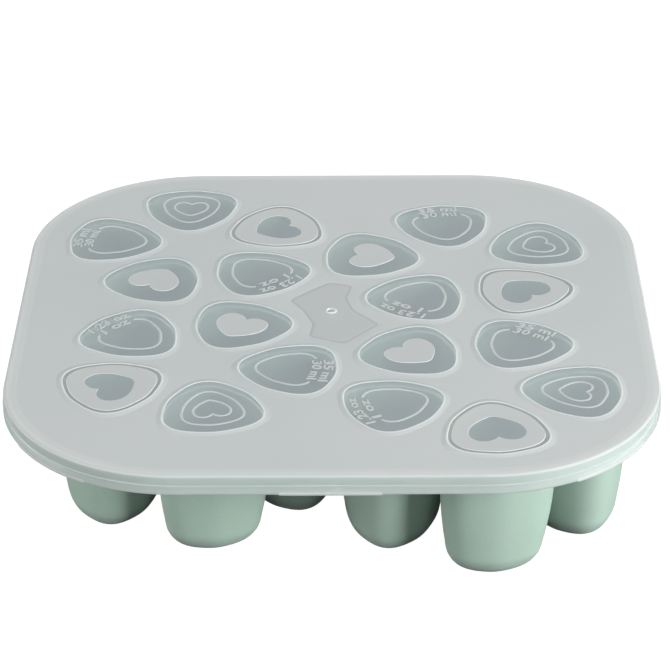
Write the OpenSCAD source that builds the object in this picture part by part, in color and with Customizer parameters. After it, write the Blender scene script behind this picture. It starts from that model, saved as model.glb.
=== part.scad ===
// Freezer tray for baby food: a soft silicone tray with twenty deep cups
// under one shallow push-on lid with a clear window over every cup.
// Frame: +Z up, origin on the resting plane under the middle of the tray,
// +X to the right and +Y to the back of the lid.

/* [Lid] */
// Width and depth of the lid, measured over the upper skirt
lid_w = 225; // [220:1:240]
// Corner radius of the lid
lid_corner = 62; // [50:1:70]
// Height of the lid's skirt, from its lower edge to the flat top
lid_h = 7.1; // [6.5:0.1:9]
// Height of the flat top above the table
lid_top_z = 51.5; // [51.5:0.5:60]
// Thickness of the lid's flat plate
plate_t = 1.5; // [1:0.1:2]
// Thickness of the skirt
skirt_t = 1.5; // [1:0.1:2]
// How far the lower band of the skirt steps out
band_step = 0.3; // [0.1:0.1:0.8]
// Height of the lower band
band_h = 3.4; // [2:0.1:5]
// How far each window stands above the flat top
window_rise = 0.5; // [0.3:0.1:1]
// Length of each snap lip under the skirt
lip_l = 34; // [20:1:40]
// Drop of each snap lip below the skirt
lip_h = 0.4; // [0.3:0.1:1.2]

/* [Cups] */
// Mean radius of a cup's outline at the lid
cup_r = 16.9; // [16:0.1:17]
// Amplitude of the three soft lobes of the outline
cup_lobe = 1.4; // [0:0.1:1.5]
// Amplitude that sharpens the lobes' tips
cup_tip = 0.3; // [0:0.1:0.4]
// Wall thickness of a cup
cup_wall = 1.6; // [1.2:0.1:2]
// Radius of the big rounding at a cup's foot
foot_r = 11.3; // [8:0.1:11.5]

/* [Tray] */
// Thickness of the deck between the cups
deck_t = 1.8; // [1.2:0.1:2.5]
// Gap between the deck's edge and the inside of the skirt
deck_gap = 0.5; // [0.4:0.1:1]
// Gap between the deck and the lid's plate
lid_gap = 0.3; // [0.3:0.1:0.5]
// Width of the stiffening bead round the deck
bead_w = 3; // [2:0.1:4]
// Drop of the bead below the deck
bead_h = 2.7; // [2:0.1:3]

/* [Hidden] */

// Layout of the cups, back row first: x, y and the direction of one lobe
CUPS = [
    [-54.5, 82, 269], [-82.5, 56, 351], [-21, 65.5, 205], [-65, 23.5, 63],
    [-26.5, 29, 130], [13.5, 42.5, 349], [41.5, 68, 279], [76, 50.5, 205],
    [30.5, 9.5, 61], [69, 14.5, 130], [27.5, -30.5, 313], [66, -25.5, 240],
    [20.5, -67, 23], [55, -84, 97], [83, -58.5, 171], [-71, -17.5, 316],
    [-32.5, -10.5, 242], [-75.5, -54, 29], [-14, -42.5, 172], [-40.5, -69.5, 100]];

N = 24;                                   // points round a cup
deck_top = lid_top_z - plate_t - lid_gap;  // top of the deck
cup_top = deck_top - deck_t;               // where a cup meets the deck
mouth = 0.4;                               // mouth outline, grown from cup_r
lid_bottom = lid_top_z - lid_h;            // lower edge of the skirt

// Rounded triangle: a circle with three lobes that fade as it shrinks
function fade(r) = pow(max(r, 1) / cup_r, 1.5);
function outline(r, n = N) = [for (i = [0 : n - 1]) let (a = i * 360 / n)
    (r + fade(r) * (cup_lobe * cos(3 * a) + cup_tip * cos(6 * a))) * [cos(a), sin(a)]];
function ring(r, z) = [for (p = outline(r)) [p[0], p[1], z]];

// Cup section, outside, from the foot up: radius and height
foot_c = cup_r - 11.7;
OUTER = [
    [foot_c, 0],
    [foot_c + foot_r * cos(60), foot_r * (1 - sin(60))],
    [foot_c + foot_r * cos(30), foot_r * (1 - sin(30))],
    [cup_r - 0.5, 13],
    [cup_r + 1.6, 30],
    [cup_r + mouth + cup_wall, cup_top]];
// Cup section, inside, from the mouth down
in_r = foot_r - cup_wall;
INNER = [
    [cup_r + mouth, cup_top],
    [cup_r + 1.6 - cup_wall, 30],
    [cup_r - 0.5 - cup_wall, 13],
    [foot_c + in_r * cos(30), foot_r - in_r * sin(30)],
    [foot_c + in_r * cos(60), foot_r - in_r * sin(60)],
    [foot_c, cup_wall]];

// Hollow cup, closed at the foot and open at the top
module cup_shell() {
    rows = concat(OUTER, INNER);
    m = len(rows);
    polyhedron(
        points = [for (q = rows) each ring(q[0], q[1])],
        faces = concat(
            [[for (i = [0 : N - 1]) i]],
            [for (j = [0 : m - 2]) for (i = [0 : N - 1]) each let (k = (i + 1) % N) [
                [j * N + i, (j + 1) * N + i, (j + 1) * N + k],
                [j * N + i, (j + 1) * N + k, j * N + k]]],
            [[for (i = [N - 1 : -1 : 0]) (m - 1) * N + i]]));
}

module cup(i) {
    color("#9ab3a3")
    translate([CUPS[i][0], CUPS[i][1], 0]) rotate([0, 0, CUPS[i][2]]) cup_shell();
}

// Square with true round corners
module soft_square(w, r) {
    square([w - 2 * r, w], center = true);
    square([w, w - 2 * r], center = true);
    for (x = [-1, 1], y = [-1, 1])
        translate([x * (w / 2 - r), y * (w / 2 - r)]) circle(r, $fn = 96);
}

module slab(w, r, z0, z1) {
    translate([0, 0, z0]) linear_extrude(z1 - z0) soft_square(w, r);
}

// Deck of the tray: flat, with a mouth over each cup and a bead round its edge
module tray_deck() {
    dw = lid_w - 2 * skirt_t - 2 * deck_gap;
    dr = lid_corner - skirt_t - deck_gap;
    color("#a6bdae") {
        difference() {
            slab(dw, dr, cup_top - bead_h, deck_top);
            slab(dw - 2 * bead_w, dr - bead_w, cup_top - bead_h - 1, cup_top);
            for (c = CUPS)
                translate([c[0], c[1], cup_top - 1]) rotate([0, 0, c[2]])
                    linear_extrude(deck_t + 2) polygon(outline(cup_r + mouth));
        }
    }
}

// Short snap lips on the lower edge of the skirt: sides and corners
module snap_lips() {
    intersection() {
        difference() {
            slab(lid_w + 2 * band_step, lid_corner + band_step, lid_bottom - lip_h, lid_bottom);
            slab(lid_w - 2 * skirt_t, lid_corner - skirt_t, lid_bottom - lip_h - 1, lid_bottom + 1);
        }
        for (a = [0 : 45 : 135]) rotate([0, 0, a])
            translate([-lid_w, -lip_l / 2, lid_bottom - lip_h - 0.5])
                cube([2 * lid_w, lip_l, lip_h + 1]);
    }
}

// Lid: plate, stepped skirt, raised windows and the small moulding dot
module lid() {
    color("#c3cbc9cc") {
        difference() {
            union() {
                slab(lid_w, lid_corner, lid_bottom + band_h, lid_top_z);
                slab(lid_w + 2 * band_step, lid_corner + band_step, lid_bottom, lid_bottom + band_h);
                for (c = CUPS)
                    translate([c[0], c[1], lid_top_z - 0.5]) rotate([0, 0, c[2]])
                        linear_extrude(0.5 + window_rise) polygon(outline(cup_r, 48));
                translate([0, 0, lid_top_z - 0.5]) cylinder(r = 1.6, h = 0.8, $fn = 48);
            }
            slab(lid_w - 2 * skirt_t, lid_corner - skirt_t, lid_bottom - 1, lid_top_z - plate_t);
        }
        snap_lips();
    }
}

module cup_01() { cup(0); }
module cup_02() { cup(1); }
module cup_03() { cup(2); }
module cup_04() { cup(3); }
module cup_05() { cup(4); }
module cup_06() { cup(5); }
module cup_07() { cup(6); }
module cup_08() { cup(7); }
module cup_09() { cup(8); }
module cup_10() { cup(9); }
module cup_11() { cup(10); }
module cup_12() { cup(11); }
module cup_13() { cup(12); }
module cup_14() { cup(13); }
module cup_15() { cup(14); }
module cup_16() { cup(15); }
module cup_17() { cup(16); }
module cup_18() { cup(17); }
module cup_19() { cup(18); }
module cup_20() { cup(19); }

lid();
tray_deck();
cup_01();
cup_02();
cup_03();
cup_04();
cup_05();
cup_06();
cup_07();
cup_08();
cup_09();
cup_10();
cup_11();
cup_12();
cup_13();
cup_14();
cup_15();
cup_16();
cup_17();
cup_18();
cup_19();
cup_20();
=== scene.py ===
"""Looks of the baby food freezer tray: one soft silicone moulding with twenty cups under a frosted lid with clear windows.

Lengths inside the building code are in millimetres, in the frame of the CAD model, and are scaled to metres when a mesh is made.
"""

import math

import bmesh
import bpy
import numpy as np
from mathutils import Matrix, Vector
from mathutils.geometry import delaunay_2d_cdt


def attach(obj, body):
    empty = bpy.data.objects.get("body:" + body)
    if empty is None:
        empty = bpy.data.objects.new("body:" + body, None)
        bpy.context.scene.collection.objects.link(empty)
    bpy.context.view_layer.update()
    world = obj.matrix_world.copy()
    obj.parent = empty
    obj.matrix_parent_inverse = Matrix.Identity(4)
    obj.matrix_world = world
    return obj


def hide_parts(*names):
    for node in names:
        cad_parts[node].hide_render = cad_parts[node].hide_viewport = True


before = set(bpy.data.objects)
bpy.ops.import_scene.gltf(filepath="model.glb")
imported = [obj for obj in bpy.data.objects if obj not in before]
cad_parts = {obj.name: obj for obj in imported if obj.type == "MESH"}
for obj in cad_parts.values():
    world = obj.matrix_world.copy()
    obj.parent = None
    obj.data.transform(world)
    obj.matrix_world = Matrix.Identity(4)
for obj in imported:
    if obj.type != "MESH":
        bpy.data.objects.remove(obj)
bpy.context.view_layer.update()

# ---------------------------------------------------------------- camera
cam_data = bpy.data.cameras.new("camera")
cam_data.sensor_width = 36.0
cam_data.lens = 155.11
cam_data.clip_start = 0.05
cam_data.clip_end = 20.0
cam_data.dof.use_dof = False
camera = bpy.data.objects.new("camera", cam_data)
bpy.context.scene.collection.objects.link(camera)
right = Vector((0.99997, 0.00426, -0.00617))
up = Vector((0.00335, 0.48229, 0.87600))
back = Vector((0.00671, -0.87600, 0.48227))
turn = Matrix((right, up, back)).transposed().to_4x4()
camera.matrix_world = Matrix.Translation((0.00782, -0.90981, 0.54255)) @ turn
bpy.context.scene.camera = camera

# ---------------------------------------------------------------- design values
LID_TOP = 51.5
PANE = 51.85  # clear pane of a window
RIM = 52.0  # rim of a window, and every raised line or heart on it
LID_UNDER = 50.0
DECK_TOP = 49.7
DECK_UNDER = 47.9
CORNER = 50.5  # centre of every corner arc, lid and deck alike
LID_R = 62.0
DECK_R = 60.0

# Cells, back row first: x, y, direction of one lobe, and what the window shows
CELLS = [
    (-54.5, 82, 269, "rings"), (-82.5, 56, 351, "ml"), (-21, 65.5, 205, "panel"), (-65, 23.5, 63, "heart"),
    (-26.5, 29, 130, "oz"), (13.5, 42.5, 349, "heart"), (41.5, 68, 279, "ml"), (76, 50.5, 205, "rings"),
    (30.5, 9.5, 61, "oz"), (69, 14.5, 130, "panel"), (27.5, -30.5, 313, "heart"), (66, -25.5, 240, "ml"),
    (20.5, -67, 23, "oz"), (55, -84, 97, "panel"), (83, -58.5, 171, "rings"), (-71, -17.5, 316, "oz"),
    (-32.5, -10.5, 242, "heart"), (-75.5, -54, 29, "panel"), (-14, -42.5, 172, "ml"), (-40.5, -69.5, 100, "rings"),
]  # fmt: skip
# Shallow outline round the moulding dot in the middle of the lid
STAR = [(-15, 8.4), (-8.9, 14.5), (-1.4, 21.5), (6.7, 19.1), (4.5, 9.8), (7, 0.7), (16.2, -9.9), (10.2, -16.5), (4.2, -23.7), (-7.8, -18.5), (-6.5, -9.7), (-10.6, 1.6)]


# ---------------------------------------------------------------- outlines
def place(cell, uv):
    """Points given along a cell's lobe and across it, moved onto the lid."""
    t = math.radians(cell[2])
    c, s = math.cos(t), math.sin(t)
    uv = np.asarray(uv, float)
    return np.stack([cell[0] + c * uv[:, 0] - s * uv[:, 1], cell[1] + s * uv[:, 0] + c * uv[:, 1]], 1)


def lobed(r, n=96):
    """Rounded triangle of mean radius r, whose lobes fade as it shrinks."""
    a = np.arange(n) * 2 * np.pi / n
    k = (max(r, 0.2) / 16.9) ** 1.5
    q = r + k * (1.4 * np.cos(3 * a) + 0.3 * np.cos(6 * a))
    return np.stack([q * np.cos(a), q * np.sin(a)], 1)


def scaled(s, d=0.0, a=None, n=96):
    """The window's outline made s times as large, then moved out by d."""
    if a is None:
        a = np.arange(n) * 2 * np.pi / n
    q = s * (16.9 + 1.55 * np.cos(3 * a) + 0.3 * np.cos(6 * a)) + d
    return np.stack([q * np.cos(a), q * np.sin(a)], 1)


def smooth_closed(p, n, blur):
    """Closed curve through p at n even steps, blurred over a length of about blur."""
    q = np.vstack([p, p[:1]])
    s = np.r_[0, np.cumsum(np.linalg.norm(np.diff(q, axis=0), axis=1))]
    m = 720
    t = np.linspace(0, s[-1], m, endpoint=False)
    e = np.stack([np.interp(t, s, q[:, 0]), np.interp(t, s, q[:, 1])], 1)
    k = np.fft.fftfreq(m, d=s[-1] / m)
    g = np.exp(-2 * (np.pi * k * blur) ** 2)
    for i in (0, 1):
        e[:, i] = np.fft.ifft(np.fft.fft(e[:, i]) * g).real
    return e[:: m // n]


def heart(w, h, n=96, blur=0.3, at=0.0):
    """Soft heart of width w and length h with a blunt tip along +u, middle of its box at u = at."""
    t = np.linspace(0, 1, 60, endpoint=False)[:, None]
    curves = (
        ((0, 0.60), (0.10, 0.80), (0.28, 0.92), (0.50, 0.92)),
        ((0.50, 0.92), (0.82, 0.92), (1.0, 0.62), (1.0, 0.28)),
        ((1.0, 0.28), (1.0, -0.18), (0.62, -0.58), (0.24, -0.83)),
        ((0.24, -0.83), (0.14, -0.90), (0.07, -0.93), (0, -0.93)),
    )
    half = []
    for c in curves:
        a, b, c2, d = (np.array(q, float) for q in c)
        half.append((1 - t) ** 3 * a + 3 * (1 - t) ** 2 * t * b + 3 * (1 - t) * t**2 * c2 + t**3 * d)
    half = np.vstack(half)
    p = np.vstack([half, [[0, -0.93]], half[:0:-1] * np.array([-1, 1])])
    p = np.stack([-p[:, 1], p[:, 0]], 1)
    p -= (p.max(0) + p.min(0)) / 2
    p *= np.array([h, w]) / (p.max(0) - p.min(0))
    return smooth_closed(p, n, blur) + np.array([at, 0])


def grow(p, d):
    """Closed outline p moved out by d along its own normals."""
    e = np.roll(p, -1, 0) - np.roll(p, 1, 0)
    e /= np.linalg.norm(e, axis=1)[:, None]
    area = (p[:, 0] * np.roll(p[:, 1], -1) - np.roll(p[:, 0], -1) * p[:, 1]).sum()
    n = np.stack([e[:, 1], -e[:, 0]], 1) * (1 if area > 0 else -1)
    return p + d * n


def band(line, half):
    """Closed outline of an open line drawn half wide on each side, with round ends."""
    e = np.gradient(line, axis=0)
    e /= np.linalg.norm(e, axis=1)[:, None]
    n = np.stack([-e[:, 1], e[:, 0]], 1)
    caps = []
    for p, d, side in ((line[-1], e[-1], n[-1]), (line[0], -e[0], -n[0])):
        a = np.linspace(0, np.pi, 8)[1:-1]
        caps.append(p + half * (np.cos(a)[:, None] * side + np.sin(a)[:, None] * d))
    return np.vstack([line + half * n, caps[0], (line - half * n)[::-1], caps[1]])


def inside(poly, pts):
    """True where a point is inside a closed outline."""
    x, y = pts[:, 0][:, None], pts[:, 1][:, None]
    x1, y1 = poly[:, 0][None], poly[:, 1][None]
    x2, y2 = np.roll(poly[:, 0], -1)[None], np.roll(poly[:, 1], -1)[None]
    cross = (y1 > y) != (y2 > y)
    dy = np.where(y2 == y1, 1e-9, y2 - y1)
    return (cross & (x < (x2 - x1) * (y - y1) / dy + x1)).sum(1) % 2 == 1


# ---------------------------------------------------------------- mesh building
class Sheet:
    """Level or gently moulded surface between closed outlines, each with its own height."""

    def __init__(self):
        self.p, self.z, self.e = [], [], []

    def loop(self, pts, z):
        i0, n = len(self.p), len(pts)
        z = np.broadcast_to(z, (n,))
        self.p += [tuple(map(float, q)) for q in pts]
        self.z += [float(v) for v in z]
        self.e += [(i0 + i, i0 + (i + 1) % n) for i in range(n)]

    def mesh(self):
        v, _, f, origin, _, _ = delaunay_2d_cdt([Vector(q) for q in self.p], self.e, [], 0, 1e-5)
        z = np.array([np.mean([self.z[i] for i in o]) if o else np.nan for o in origin])
        xy = np.array([(q.x, q.y) for q in v])
        for i in np.flatnonzero(np.isnan(z)):
            z[i] = z[np.nanargmin(np.where(np.isnan(z), np.inf, ((xy - xy[i]) ** 2).sum(1)))]
        return np.column_stack([xy, z]), np.array(f)


def rows_mesh(rows):
    """Quads between closed rows of points, one row after another."""
    n = len(rows[0])
    pts = np.vstack(rows)
    i = np.arange(n)
    k = (i + 1) % n
    quads = [np.stack([j * n + i, j * n + k, (j + 1) * n + k, (j + 1) * n + i], 1) for j in range(len(rows) - 1)]
    return pts, np.vstack(quads)


class Parts:
    """Collects surfaces, then joins them into one mesh object."""

    def __init__(self):
        self.v, self.f, self.m, self.n = [], [], [], 0

    def add(self, pts, faces, mat=0):
        self.v.append(np.asarray(pts, float))
        faces = np.asarray(faces)
        mats = np.broadcast_to(mat, (len(faces),))
        self.f += [tuple(int(i) + self.n for i in f) for f in faces]
        self.m += [int(x) for x in mats]
        self.n += len(pts)

    def build(self, name, materials, sharp=28.0, weld=0.002):
        me = bpy.data.meshes.new(name)
        me.from_pydata((np.vstack(self.v) * 0.001).tolist(), [], self.f)
        for mat in materials:
            me.materials.append(mat)
        me.polygons.foreach_set("material_index", self.m)
        bm = bmesh.new()
        bm.from_mesh(me)
        bmesh.ops.remove_doubles(bm, verts=bm.verts, dist=weld * 0.001)
        bmesh.ops.dissolve_degenerate(bm, dist=1e-7, edges=bm.edges)
        loose = [x for x in bm.verts if not x.link_faces]
        bmesh.ops.delete(bm, geom=loose, context="VERTS")
        bmesh.ops.recalc_face_normals(bm, faces=bm.faces)
        open_edges = sum(1 for e in bm.edges if len(e.link_faces) != 2)
        bm.to_mesh(me)
        bm.free()
        me.polygons.foreach_set("use_smooth", [True] * len(me.polygons))
        me.set_sharp_from_angle(angle=math.radians(sharp))
        me.update()
        print(f"{name}: {len(me.vertices)} vertices, {len(me.polygons)} faces, {open_edges} open edges")
        ob = bpy.data.objects.new(name, me)
        bpy.context.scene.collection.objects.link(ob)
        return ob


# Square with round corners: the same points for every offset, so that rows join up
LIP_DROP = 0.4  # how far a snap lip reaches below the skirt
_line = np.unique(np.round(np.r_[np.linspace(-CORNER, CORNER, 45), -17.5, -17.2, -16.8, -16.4, 16.4, 16.8, 17.2, 17.5], 3))
_arc = np.unique(np.round(np.r_[np.linspace(0, 90, 61), 28.7, 29.0, 29.3, 29.6, 60.4, 60.7, 61.0, 61.3], 3))


def square_param():
    """Corner centre, direction and place along the side or corner of every outline point."""
    centre, way, lip = [], [], []
    for q in range(4):
        t = math.radians(90 * q)
        c, s = math.cos(t), math.sin(t)
        rot = np.array([[c, -s], [s, c]])
        for y in _line[:-1]:
            centre.append(rot @ np.array([CORNER, y]))
            way.append(rot @ np.array([1.0, 0.0]))
            lip.append(abs(y))
        for a in _arc[:-1]:
            r = math.radians(a)
            centre.append(rot @ np.array([CORNER, CORNER]))
            way.append(rot @ np.array([math.cos(r), math.sin(r)]))
            lip.append(abs(LID_R * math.sin(r - math.pi / 4)))
    return np.array(centre), np.array(way), np.array(lip)


SQ_C, SQ_N, SQ_L = square_param()
LIPS = 1 - np.clip((SQ_L - 16.6) / 0.8, 0, 1)
LIPS = LIPS * LIPS * (3 - 2 * LIPS)


def square(r):
    return SQ_C + r * SQ_N


def square_row(r, z):
    xy = square(r)
    return np.column_stack([xy, np.broadcast_to(z, (len(xy),))])


def arc(cx, cz, r, a0, a1, n):
    """Points of a round edge in a section, from angle a0 to a1 in degrees."""
    return [(cx + r * math.cos(math.radians(a)), cz + r * math.sin(math.radians(a))) for a in np.linspace(a0, a1, n)]


def through(points, counts):
    """Smooth section through a few points, with counts[i] steps from point i to the next."""
    p = np.array(points, float)
    s = np.r_[0, np.cumsum(np.linalg.norm(np.diff(p, axis=0), axis=1))]
    m = np.gradient(p, s, axis=0)
    out = []
    for i in range(len(p) - 1):
        h = s[i + 1] - s[i]
        t = np.linspace(0, 1, counts[i], endpoint=False)[:, None]
        out.append((2 * t**3 - 3 * t**2 + 1) * p[i] + (t**3 - 2 * t**2 + t) * h * m[i] + (-2 * t**3 + 3 * t**2) * p[i + 1] + (t**3 - t**2) * h * m[i + 1])
    return [tuple(q) for q in np.vstack(out)] + [tuple(p[-1])]


# ---------------------------------------------------------------- tray
NC = 60
# Soft cups along the front hang a little askew: how far the foot drifts to the right, and how far it is drawn up
LEAN = {12: (-0.3, 0.2), 13: (-1.1, 0.7), 14: (0.4, 0.0), 17: (-1.0, 2.0), 19: (-1.2, 1.2)}


def hang(pts, drift, rise):
    """Points of a cup with its foot moved and drawn up, growing evenly from the deck down."""
    k = np.clip((DECK_UNDER - pts[:, 2]) / DECK_UNDER, 0, 1)
    return pts + np.column_stack([k * drift, 0 * k, k * rise])


def tray():
    parts = Parts()
    # section of a cup: mouth, inside, foot
    inner = arc(18.5, 48.5, 1.2, 90, 180, 6)[:-1]
    inner += through([(17.3, 48.5), (17.2, 44), (16.95, 32), (16.1, 21), (14.9, 13), (14.0, 8.2), (12.2, 5.0), (9.4, 2.9), (5.2, 1.6)], (1, 2, 2, 2, 2, 3, 3, 3))
    inner += [(3.6, 1.6), (1.8, 1.6)]
    outer = [(19.12, 47.9), (19.0, 47.83), (18.93, 47.7)]
    outer += through([(18.9, 47.4), (18.75, 38), (18.5, 30), (17.6, 20), (16.5, 12.4), (15.4, 6.9), (13.2, 3.3), (9.6, 0.75), (5.6, 0.0)], (2, 2, 3, 4, 6, 6, 6, 5))
    outer += [(3.6, 0.0), (1.8, 0.0)]
    for i_cell, cell in enumerate(CELLS):
        for section in (inner, outer):
            rows = [np.column_stack([place(cell, lobed(r, NC)), np.full(NC, z)]) for r, z in section]
            pts, quads = rows_mesh(rows)
            last = len(pts) - NC
            z = section[-1][1]
            pts = hang(np.vstack([pts, [[cell[0], cell[1], z]]]), *LEAN.get(i_cell, (0.0, 0.0)))
            parts.add(pts, quads)
            fan = [(last + i, last + (i + 1) % NC, len(pts) - 1) for i in range(NC)]
            parts.add(pts, fan)
    # deck: top and underside, round edge and bead
    for z, hole, guard, edge in ((DECK_TOP, 18.5, 18.75, -0.8), (DECK_UNDER, 19.12, None, -3.5)):
        sheet = Sheet()
        sheet.loop(square(DECK_R + 0.5 + edge), z)
        sheet.loop(square(DECK_R + 0.5 + edge - 0.4), z)
        for cell in CELLS:
            sheet.loop(place(cell, lobed(hole, NC)), z)
            if guard:
                sheet.loop(place(cell, lobed(guard, NC)), z)
        pts, tris = sheet.mesh()
        mid = pts[tris].mean(1)[:, :2]
        keep = np.ones(len(tris), bool)
        for cell in CELLS:
            near = np.hypot(mid[:, 0] - cell[0], mid[:, 1] - cell[1]) < 24
            idx = np.flatnonzero(near)
            keep[idx[inside(place(cell, lobed(hole, NC)), mid[idx])]] = False
        parts.add(pts, tris[keep])
    rim = [(-0.8, 49.7)] + arc(-0.8, 48.9, 0.8, 90, 0, 6)[1:] + [(0, 48.0), (0, 47.0)]
    rim += arc(-1.5, 46.7, 1.5, 0, -180, 13) + [(-3.0, 47.3)] + arc(-3.5, 47.4, 0.5, 0, 90, 5)
    rows = [square_row(DECK_R + 0.5 + d, z) for d, z in rim]
    parts.add(*rows_mesh(rows))
    return parts


# ---------------------------------------------------------------- lid
FROST, CLEAR, PAINTED_HIGHLIGHT, PATCH, SKIRT, LUG, GROOVE_SHADE, MARGIN_SHADE, EDGE, HOLLOW, UNDER, SHADED_SLOPE, BORDER_HIGHLIGHT, HIGHLIGHT_FALLOFF, THREAD = range(15)


def window(kind):
    """Loops (outline, height) of a window and the areas that take each finish."""
    loops = [
        (lobed(19.2), 51.5), (lobed(18.95), 51.5), (lobed(18.75), 51.53), (lobed(18.3), 51.64), (lobed(17.85), 51.75),
        (lobed(17.4), 51.87), (lobed(17.15), 51.96), (lobed(16.9), RIM), (lobed(16.72), 51.98), (lobed(16.58), 51.87),
        (lobed(16.48), PANE), (lobed(16.1), PANE),
    ]  # fmt: skip
    # Round each window the slope takes a darker colour, painted shade that tones down the light it catches, and the
    # band inside the rim a lighter one, a painted highlight along the rim's top edge.
    areas = [(lobed(18.95), SHADED_SLOPE), (lobed(17.25), PAINTED_HIGHLIGHT), (lobed(16.58), CLEAR)]

    def raised(shape, finish, edge=0.16, wall=True):
        """A low plateau standing on the pane."""
        loops.append((shape, PANE))
        loops.append((grow(shape, -edge), RIM))
        # The plateau's edge strip takes the lighter colour too: a painted highlight along its edge.
        areas.append((shape, PAINTED_HIGHLIGHT if wall else finish))
        areas.append((grow(shape, -edge), finish))

    if kind == "rings":
        oval, back_off = np.array([1.02, 0.96]), np.array([-0.7, 0])
        mid = heart(12.8, 11.0, blur=0.35)
        for outer, inner in ((scaled(0.635, 0.45) * oval + back_off, scaled(0.635, -0.45) * oval + back_off), (grow(mid, 0.42), grow(mid, -0.42))):
            loops.extend([(outer, PANE), (grow(outer, -0.16), RIM), (grow(inner, 0.16), RIM), (inner, PANE)])
            areas.extend([(outer, THREAD), (inner, CLEAR)])
    elif kind == "heart":
        raised(heart(19.0, 16.0, at=1.4), PATCH)
    elif kind == "panel":
        # The margin between panel and rim takes a dark grey colour: painted shade for the dark cup seen through it.
        areas.append((lobed(16.6), MARGIN_SHADE))
        raised(lobed(15.35), PATCH)
        h = heart(19.4, 15.6, at=0.7)
        loops.extend([(grow(h, 0.16), RIM), (h, PANE)])
        areas.extend([(h, CLEAR)])
    else:
        a = np.radians(np.linspace(-133, 133, 90))
        raised(band(scaled(0.635, 0.0, a) + np.array([0.6, 0]), 0.45), THREAD, wall=False)
    return loops, areas


def finish_of(mid):
    """Finish of every face centre on the top of the lid."""
    out = np.full(len(mid), FROST)
    for cell in CELLS:
        idx = np.flatnonzero(np.hypot(mid[:, 0] - cell[0], mid[:, 1] - cell[1]) < 22)
        if not len(idx):
            continue
        for shape, mat in window(cell[3])[1]:
            poly = place(cell, shape)
            hit = idx[inside(poly, mid[idx])]
            out[hit] = mat
    return out


def lid():
    parts = Parts()
    top_in = LID_R - 1.0
    sheet = Sheet()
    sheet.loop(square(top_in), LID_TOP)
    for d in (0.6, 1.5, 3.6):
        sheet.loop(square(top_in - d), LID_TOP)
    for cell in CELLS:
        for shape, z in window(cell[3])[0]:
            sheet.loop(place(cell, shape), z)
    star = smooth_closed(np.array(STAR, float), 144, 1.0)
    for d, z in ((1.0, LID_TOP), (0.5, LID_TOP - 0.08), (-0.3, LID_TOP - 0.1), (-0.7, LID_TOP - 0.03), (-1.3, LID_TOP - 0.03)):
        sheet.loop(grow(star, d), z)
    turn_a = np.arange(32) * 2 * np.pi / 32
    disc = np.stack([np.cos(turn_a), np.sin(turn_a)], 1)
    for r, z in ((2.7, LID_TOP - 0.03), (2.3, LID_TOP), (1.95, LID_TOP + 0.28), (1.55, LID_TOP + 0.35), (1.25, LID_TOP - 0.2), (0.85, LID_TOP - 0.3), (0.5, LID_TOP + 0.1), (0.25, LID_TOP + 0.15)):
        sheet.loop(disc * r + np.array([-0.5, 0.0]), z)
    pts, tris = sheet.mesh()
    mid = pts[tris].mean(1)[:, :2]
    mats = finish_of(mid)
    out = np.hypot(np.maximum(abs(mid[:, 0]) - CORNER, 0), np.maximum(abs(mid[:, 1]) - CORNER, 0))
    # A lighter band along the lid's outer edge, in two steps: a painted highlight of the edge.
    mats[out > top_in - 3.6] = HIGHLIGHT_FALLOFF
    mats[out > top_in - 1.5] = BORDER_HIGHLIGHT
    # The groove round the star takes a darker colour: painted shade in the groove.
    mats[inside(grow(star, 0.5), mid)] = GROOVE_SHADE
    mats[inside(grow(star, -0.3), mid)] = HOLLOW
    # Moulding dot: a lighter ring, a painted highlight, round darker rings and a pit, painted shade.
    dot = np.hypot(mid[:, 0] + 0.5, mid[:, 1])
    mats[(dot < 2.15) & (dot > 1.4)] = PAINTED_HIGHLIGHT
    mats[dot <= 1.4] = GROOVE_SHADE
    mats[(dot < 1.25) & (dot > 0.4)] = MARGIN_SHADE
    parts.add(pts, tris, mats)
    # outside, lower edge with its lips, inside
    rim = arc(-1.0, 50.5, 1.0, 90, 0, 10)
    rim += [(0, 49.6), (0, 48.3), (0.01, 48.05), (0.05, 47.92), (0.15, 47.85), (0.24, 47.8), (0.29, 47.7), (0.3, 47.5), (0.3, 46.4), (0.3, 45.4), (0.3, 44.9)]
    low = len(rim)
    rim += [(0.27, 44.65), (0.15, 44.47), (-0.05, 44.4), (-0.6, 44.4), (-1.15, 44.4), (-1.35, 44.46), (-1.47, 44.6), (-1.5, 44.85)]
    high = len(rim)
    rim += [(-1.5, 45.4), (-1.5, 47.5), (-1.5, 49.1)] + arc(-2.1, 49.4, 0.6, 0, 90, 5)[1:]
    rows = [square_row(LID_R + d, z - (LIP_DROP * LIPS if low <= i < high else 0)) for i, (d, z) in enumerate(rim)]
    pts, quads = rows_mesh(rows)
    n = len(SQ_L)
    row, along = quads[:, 0] // n, quads[:, 0] % n
    mats = np.full(len(quads), SKIRT)
    mats[row < 7] = EDGE
    mats[row >= high] = CLEAR
    mats[(LIPS[along] > 0.5) & (LIPS[(along + 1) % n] > 0.5) & (row >= low - 2) & (row < high)] = LUG
    parts.add(pts, quads, mats)
    sheet = Sheet()
    sheet.loop(square(LID_R - 2.1), LID_UNDER)
    sheet.loop(square(LID_R - 2.5), LID_UNDER)
    for cell in CELLS:
        for r in (17.15, 16.35, 16.0):
            sheet.loop(place(cell, lobed(r)), LID_UNDER)
    pts, tris = sheet.mesh()
    mid = pts[tris].mean(1)[:, :2]
    mats = np.full(len(tris), CLEAR)
    # Under each window's rim a flat ring takes a near-white finish: a painted highlight of the window's inner edge.
    for cell in CELLS:
        idx = np.flatnonzero(np.hypot(mid[:, 0] - cell[0], mid[:, 1] - cell[1]) < 20)
        ring = inside(place(cell, lobed(17.15)), mid[idx]) & ~inside(place(cell, lobed(16.35)), mid[idx])
        mats[idx[ring]] = UNDER
    parts.add(pts, tris, mats)
    return parts


# ---------------------------------------------------------------- materials
def nodes_of(name):
    mat = bpy.data.materials.new(name)
    mat.use_nodes = True
    nt = mat.node_tree
    return mat, nt, nt.nodes["Principled BSDF"]


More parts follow.
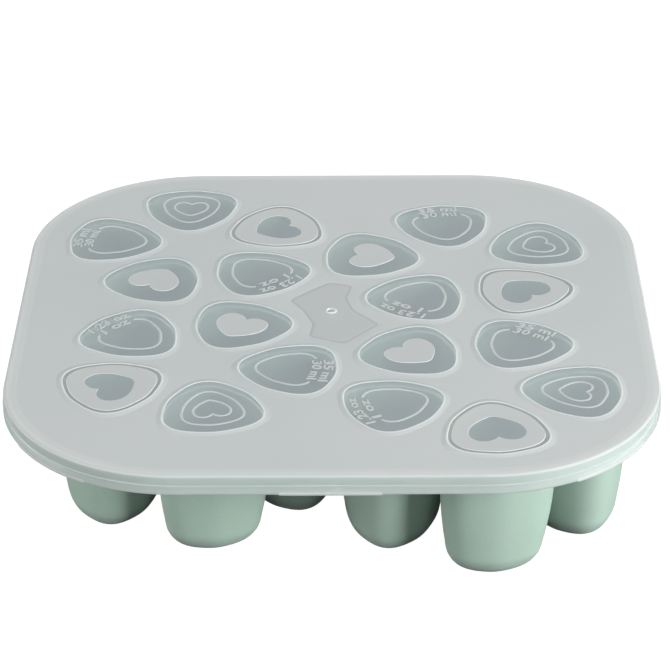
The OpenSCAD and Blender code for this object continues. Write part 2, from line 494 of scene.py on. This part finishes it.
def silicone_material():
    mat, nt, bsdf = nodes_of("sage_silicone")
    co = nt.nodes.new("ShaderNodeTexCoord")
    fine = nt.nodes.new("ShaderNodeTexNoise")
    fine.inputs["Scale"].default_value = 1500.0
    fine.inputs["Detail"].default_value = 3.0
    fine.inputs["Roughness"].default_value = 0.6
    wide = nt.nodes.new("ShaderNodeTexNoise")
    wide.inputs["Scale"].default_value = 22.0
    wide.inputs["Detail"].default_value = 2.0
    nt.links.new(co.outputs["Object"], fine.inputs["Vector"])
    nt.links.new(co.outputs["Object"], wide.inputs["Vector"])
    ramp = nt.nodes.new("ShaderNodeValToRGB")
    ramp.color_ramp.elements[0].position = 0.3
    ramp.color_ramp.elements[0].color = (0.360, 0.490, 0.418, 1)
    ramp.color_ramp.elements[1].position = 0.7
    ramp.color_ramp.elements[1].color = (0.395, 0.530, 0.455, 1)
    nt.links.new(wide.outputs["Fac"], ramp.inputs["Fac"])
    speck = nt.nodes.new("ShaderNodeMixRGB")
    speck.blend_type = "OVERLAY"
    speck.inputs["Fac"].default_value = 0.08
    nt.links.new(ramp.outputs["Color"], speck.inputs["Color1"])
    nt.links.new(fine.outputs["Fac"], speck.inputs["Color2"])
    nt.links.new(speck.outputs["Color"], bsdf.inputs["Base Color"])
    rough = nt.nodes.new("ShaderNodeMapRange")
    rough.inputs["To Min"].default_value = 0.52
    rough.inputs["To Max"].default_value = 0.68
    nt.links.new(fine.outputs["Fac"], rough.inputs["Value"])
    nt.links.new(rough.outputs["Result"], bsdf.inputs["Roughness"])
    bump = nt.nodes.new("ShaderNodeBump")
    bump.inputs["Strength"].default_value = 0.12
    bump.inputs["Distance"].default_value = 0.00008
    nt.links.new(fine.outputs["Fac"], bump.inputs["Height"])
    nt.links.new(bump.outputs["Normal"], bsdf.inputs["Normal"])
    bsdf.inputs["Specular IOR Level"].default_value = 0.35
    bsdf.inputs["Sheen Weight"].default_value = 0.08
    bsdf.inputs["Sheen Roughness"].default_value = 0.5
    return mat


def plastic_material(name, low, high, alpha, rough_low, rough_high, grain, bump_mm, spec=0.5):
    """Polypropylene: low and high bound its slow colour change, grain is the size of its surface texture."""
    mat, nt, bsdf = nodes_of(name)
    co = nt.nodes.new("ShaderNodeTexCoord")
    wide = nt.nodes.new("ShaderNodeTexNoise")
    wide.inputs["Scale"].default_value = 14.0
    wide.inputs["Detail"].default_value = 2.0
    fine = nt.nodes.new("ShaderNodeTexNoise")
    fine.inputs["Scale"].default_value = grain
    fine.inputs["Detail"].default_value = 2.0
    nt.links.new(co.outputs["Object"], wide.inputs["Vector"])
    nt.links.new(co.outputs["Object"], fine.inputs["Vector"])
    ramp = nt.nodes.new("ShaderNodeValToRGB")
    ramp.color_ramp.elements[0].position = 0.32
    ramp.color_ramp.elements[0].color = (*low, 1)
    ramp.color_ramp.elements[1].position = 0.68
    ramp.color_ramp.elements[1].color = (*high, 1)
    nt.links.new(wide.outputs["Fac"], ramp.inputs["Fac"])
    nt.links.new(ramp.outputs["Color"], bsdf.inputs["Base Color"])
    rough = nt.nodes.new("ShaderNodeMapRange")
    rough.inputs["To Min"].default_value = rough_low
    rough.inputs["To Max"].default_value = rough_high
    nt.links.new(fine.outputs["Fac"], rough.inputs["Value"])
    nt.links.new(rough.outputs["Result"], bsdf.inputs["Roughness"])
    bump = nt.nodes.new("ShaderNodeBump")
    bump.inputs["Strength"].default_value = 0.3
    bump.inputs["Distance"].default_value = bump_mm * 0.001
    nt.links.new(fine.outputs["Fac"], bump.inputs["Height"])
    nt.links.new(bump.outputs["Normal"], bsdf.inputs["Normal"])
    bsdf.inputs["Alpha"].default_value = alpha
    bsdf.inputs["IOR"].default_value = 1.49
    bsdf.inputs["Specular IOR Level"].default_value = spec
    return mat


silicone = silicone_material()
frosted = plastic_material("frosted_lid", (0.520, 0.556, 0.557), (0.552, 0.574, 0.574), 0.92, 0.42, 0.56, 2600.0, 0.02)
# The clear pane is tinted dark grey-blue and half opaque: partly the pane's own slight veil, partly painted shade of
# the cup hollows below it.
clear = plastic_material("clear_pane_and_painted_shade", (0.362, 0.414, 0.432), (0.382, 0.429, 0.446), 0.58, 0.18, 0.28, 900.0, 0.006)
# Lighter frosted colour for window rims, plateau edges and the moulding dot's ring: a painted highlight.
line = plastic_material("rim_painted_highlight", (0.68, 0.73, 0.72), (0.71, 0.75, 0.74), 0.86, 0.36, 0.50, 2600.0, 0.02)
thread = plastic_material("window_thread", (0.53, 0.57, 0.562), (0.555, 0.585, 0.578), 0.86, 0.36, 0.50, 2600.0, 0.02)
figures = plastic_material("raised_figures", (0.55, 0.59, 0.583), (0.57, 0.60, 0.593), 0.92, 0.36, 0.50, 2600.0, 0.02)
patch = plastic_material("frosted_patch", (0.520, 0.545, 0.545), (0.540, 0.560, 0.560), 0.92, 0.42, 0.56, 2600.0, 0.02)
skirt = plastic_material("frosted_skirt", (0.475, 0.545, 0.525), (0.505, 0.565, 0.547), 0.75, 0.50, 0.64, 2600.0, 0.02, 0.4)
lug = plastic_material("snap_lip", (0.58, 0.63, 0.62), (0.61, 0.65, 0.64), 0.90, 0.50, 0.64, 2600.0, 0.02, 0.4)
# Dark grey for the margin round each panel and the moulding dot's pit: painted shade.
margin = plastic_material("margin_painted_shade", (0.30, 0.315, 0.315), (0.33, 0.345, 0.345), 0.84, 0.34, 0.46, 1800.0, 0.01)
# Near-white finish used only for the flat ring under each window's rim: a painted highlight.
mark = plastic_material("underside_ring_painted_highlight", (0.73, 0.775, 0.765), (0.75, 0.79, 0.78), 0.95, 0.36, 0.50, 2600.0, 0.02)
edge = plastic_material("frosted_edge", (0.535, 0.568, 0.562), (0.56, 0.585, 0.58), 0.92, 0.55, 0.68, 2600.0, 0.02, 0.3)
# Lighter frosted colours for the outer band of the lid top and the softer step inside it: a painted highlight along the
# edge.
border = plastic_material("border_painted_highlight", (0.585, 0.615, 0.612), (0.610, 0.632, 0.629), 0.92, 0.45, 0.60, 2600.0, 0.02)
fade = plastic_material("edge_highlight_falloff", (0.552, 0.587, 0.587), (0.582, 0.604, 0.603), 0.92, 0.42, 0.56, 2600.0, 0.02)
# Darker frosted colour of the slope round each window: painted shade that tones down the light the slope catches.
slope = plastic_material("slope_painted_shade", (0.50, 0.535, 0.533), (0.528, 0.552, 0.55), 0.92, 0.50, 0.64, 2600.0, 0.02, 0.4)
hollow = plastic_material("frosted_hollow", (0.475, 0.502, 0.502), (0.498, 0.518, 0.518), 0.92, 0.42, 0.56, 2600.0, 0.02)
# Darker colour for the star's groove and the moulding dot: painted shade.
groove = plastic_material("groove_painted_shade", (0.41, 0.43, 0.43), (0.435, 0.452, 0.452), 0.92, 0.42, 0.56, 2600.0, 0.02)

tray_obj = tray().build("silicone_tray", [silicone], sharp=50.0)
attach(tray_obj, "tray")
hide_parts("tray_deck", *[f"cup_{i + 1:02d}" for i in range(20)])

lid_obj = lid().build("moulded_lid", [frosted, clear, line, patch, skirt, lug, groove, margin, edge, hollow, mark, slope, border, fade, thread], sharp=32.0)
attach(lid_obj, "lid")
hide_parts("lid")
lid_obj.visible_shadow = False  # frosted plastic scatters daylight on into the cups


# ---------------------------------------------------------------- volume marks on the windows
def marks():
    parts = Parts()
    for cell in CELLS:
        if cell[3] not in ("ml", "oz"):
            continue
        lines = (("35 ml", 14.8, -11.1), ("30 ml", 13.0, -7.0)) if cell[3] == "ml" else (("1.23 oz", 17.8, -11.1), ("1 oz", 12.2, -7.0))
        for words, length, base in lines:
            curve = bpy.data.curves.new("mark", "FONT")
            curve.body = words
            curve.size = 5.6
            curve.offset = 0.11
            curve.extrude = 0.075
            curve.resolution_u = 4
            curve.space_character = 1.06
            curve.space_word = 0.7
            ob = bpy.data.objects.new("mark", curve)
            bpy.context.scene.collection.objects.link(ob)
            bpy.context.view_layer.update()
            me = bpy.data.meshes.new_from_object(ob.evaluated_get(bpy.context.evaluated_depsgraph_get()))
            v = np.array([tuple(q.co) for q in me.vertices])
            faces = [tuple(p.vertices) for p in me.polygons]
            bpy.data.objects.remove(ob)
            bpy.data.curves.remove(curve)
            bpy.data.meshes.remove(me)
            v[:, 0] -= (v[:, 0].max() + v[:, 0].min()) / 2
            v[:, 0] *= length / (v[:, 0].max() - v[:, 0].min())
            digits = v[:, 1].max()
            y = v[:, 1] * 3.4 / digits - v[:, 0] ** 2 / 62.0
            # letters stand with their heads away from the lobe, and read across the flat side
            u = base - y
            w = v[:, 0]
            xy = place(cell, np.stack([u, w], 1))
            z = PANE + 0.075 + v[:, 2]
            parts.v.append(np.column_stack([xy, z]))
            parts.f += [tuple(i + parts.n for i in f) for f in faces]
            parts.m += [0] * len(faces)
            parts.n += len(v)
    return parts


marks_obj = marks().build("volume_marks", [figures], sharp=30.0, weld=0.0005)
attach(marks_obj, "lid")

# ---------------------------------------------------------------- floor, world and lamps
floor_mesh = bpy.data.meshes.new("floor")
floor_mesh.from_pydata([(-4, -4, -0.0004), (4, -4, -0.0004), (4, 4, -0.0004), (-4, 4, -0.0004)], [], [(0, 1, 2, 3)])
floor = bpy.data.objects.new("floor", floor_mesh)
bpy.context.scene.collection.objects.link(floor)
floor_mat, nt, bsdf = nodes_of("white_floor")
bsdf.inputs["Base Color"].default_value = (0.12, 0.12, 0.12, 1)
bsdf.inputs["Roughness"].default_value = 1.0
bsdf.inputs["Specular IOR Level"].default_value = 0.0
bsdf.inputs["Emission Color"].default_value = (1, 1, 1, 1)
bsdf.inputs["Emission Strength"].default_value = 1.0
floor_mesh.materials.append(floor_mat)
floor.visible_diffuse = False
floor.visible_glossy = False
floor.visible_transmission = False

# White backdrop round the floor, seen in low views only; it gives and takes no light
wall_turns = [i * math.pi / 24 for i in range(48)]
wall_mesh = bpy.data.meshes.new("backdrop")
wall_mesh.from_pydata(
    [(3.9 * math.cos(a), 3.9 * math.sin(a), z) for z in (-0.01, 2.5) for a in wall_turns],
    [],
    [(i, (i + 1) % 48, 48 + (i + 1) % 48, 48 + i) for i in range(48)],
)
backdrop = bpy.data.objects.new("backdrop", wall_mesh)
bpy.context.scene.collection.objects.link(backdrop)
wall_mesh.materials.append(floor_mat)
backdrop.visible_diffuse = False
backdrop.visible_glossy = False
backdrop.visible_transmission = False
backdrop.visible_shadow = False

world = bpy.data.worlds.new("studio")
bpy.context.scene.world = world
world.use_nodes = True
wn = world.node_tree
bg = wn.nodes["Background"]
co = wn.nodes.new("ShaderNodeTexCoord")
sep = wn.nodes.new("ShaderNodeSeparateXYZ")
height = wn.nodes.new("ShaderNodeMapRange")
height.inputs["From Min"].default_value = -1.0
height.inputs["From Max"].default_value = 1.0
ramp = wn.nodes.new("ShaderNodeValToRGB")
ramp.color_ramp.elements[0].position = 0.40
ramp.color_ramp.elements[0].color = (0.02, 0.02, 0.02, 1)
ramp.color_ramp.elements[1].position = 1.0
ramp.color_ramp.elements[1].color = (0.34, 0.34, 0.34, 1)
for at, v in ((0.50, 0.05), (0.54, 0.30), (0.66, 0.38), (0.80, 0.39)):
    stop = ramp.color_ramp.elements.new(at)
    stop.color = (v, v, v, 1)
wn.links.new(co.outputs["Generated"], sep.inputs["Vector"])
wn.links.new(sep.outputs["Z"], height.inputs["Value"])
wn.links.new(height.outputs["Result"], ramp.inputs["Fac"])
wn.links.new(ramp.outputs["Color"], bg.inputs["Color"])
bg.inputs["Strength"].default_value = 1.0


def lamp(name, place_at, aim, size, watts, colour=(1, 1, 1)):
    data = bpy.data.lights.new(name, "AREA")
    data.shape = "DISK"
    data.size = size
    data.energy = watts
    data.color = colour
    ob = bpy.data.objects.new(name, data)
    ob.location = place_at
    ob.rotation_euler = (Vector(aim) - Vector(place_at)).to_track_quat("-Z", "Y").to_euler()
    bpy.context.scene.collection.objects.link(ob)
    return ob


lamp("key", (1.25, -0.75, 0.38), (0, 0, 0.02), 0.9, 29.5)
lamp("front", (-0.5, -1.45, 0.30), (0, 0, 0.02), 1.0, 3.2)
lamp("left", (-1.42, -0.42, 0.32), (0, 0, 0.03), 1.0, 14.0)
behind = lamp("back", (0.3, 1.5, 0.24), (0, 0, 0.03), 1.0, 6.5)
behind.visible_glossy = False
lamp("top", (-0.1, 0.25, 1.5), (0, 0, 0.05), 0.9, 5.0)

scene = bpy.context.scene
scene.view_settings.view_transform = "Standard"
scene.view_settings.look = "None"
scene.view_settings.exposure = 0.0
scene.view_settings.gamma = 1.0
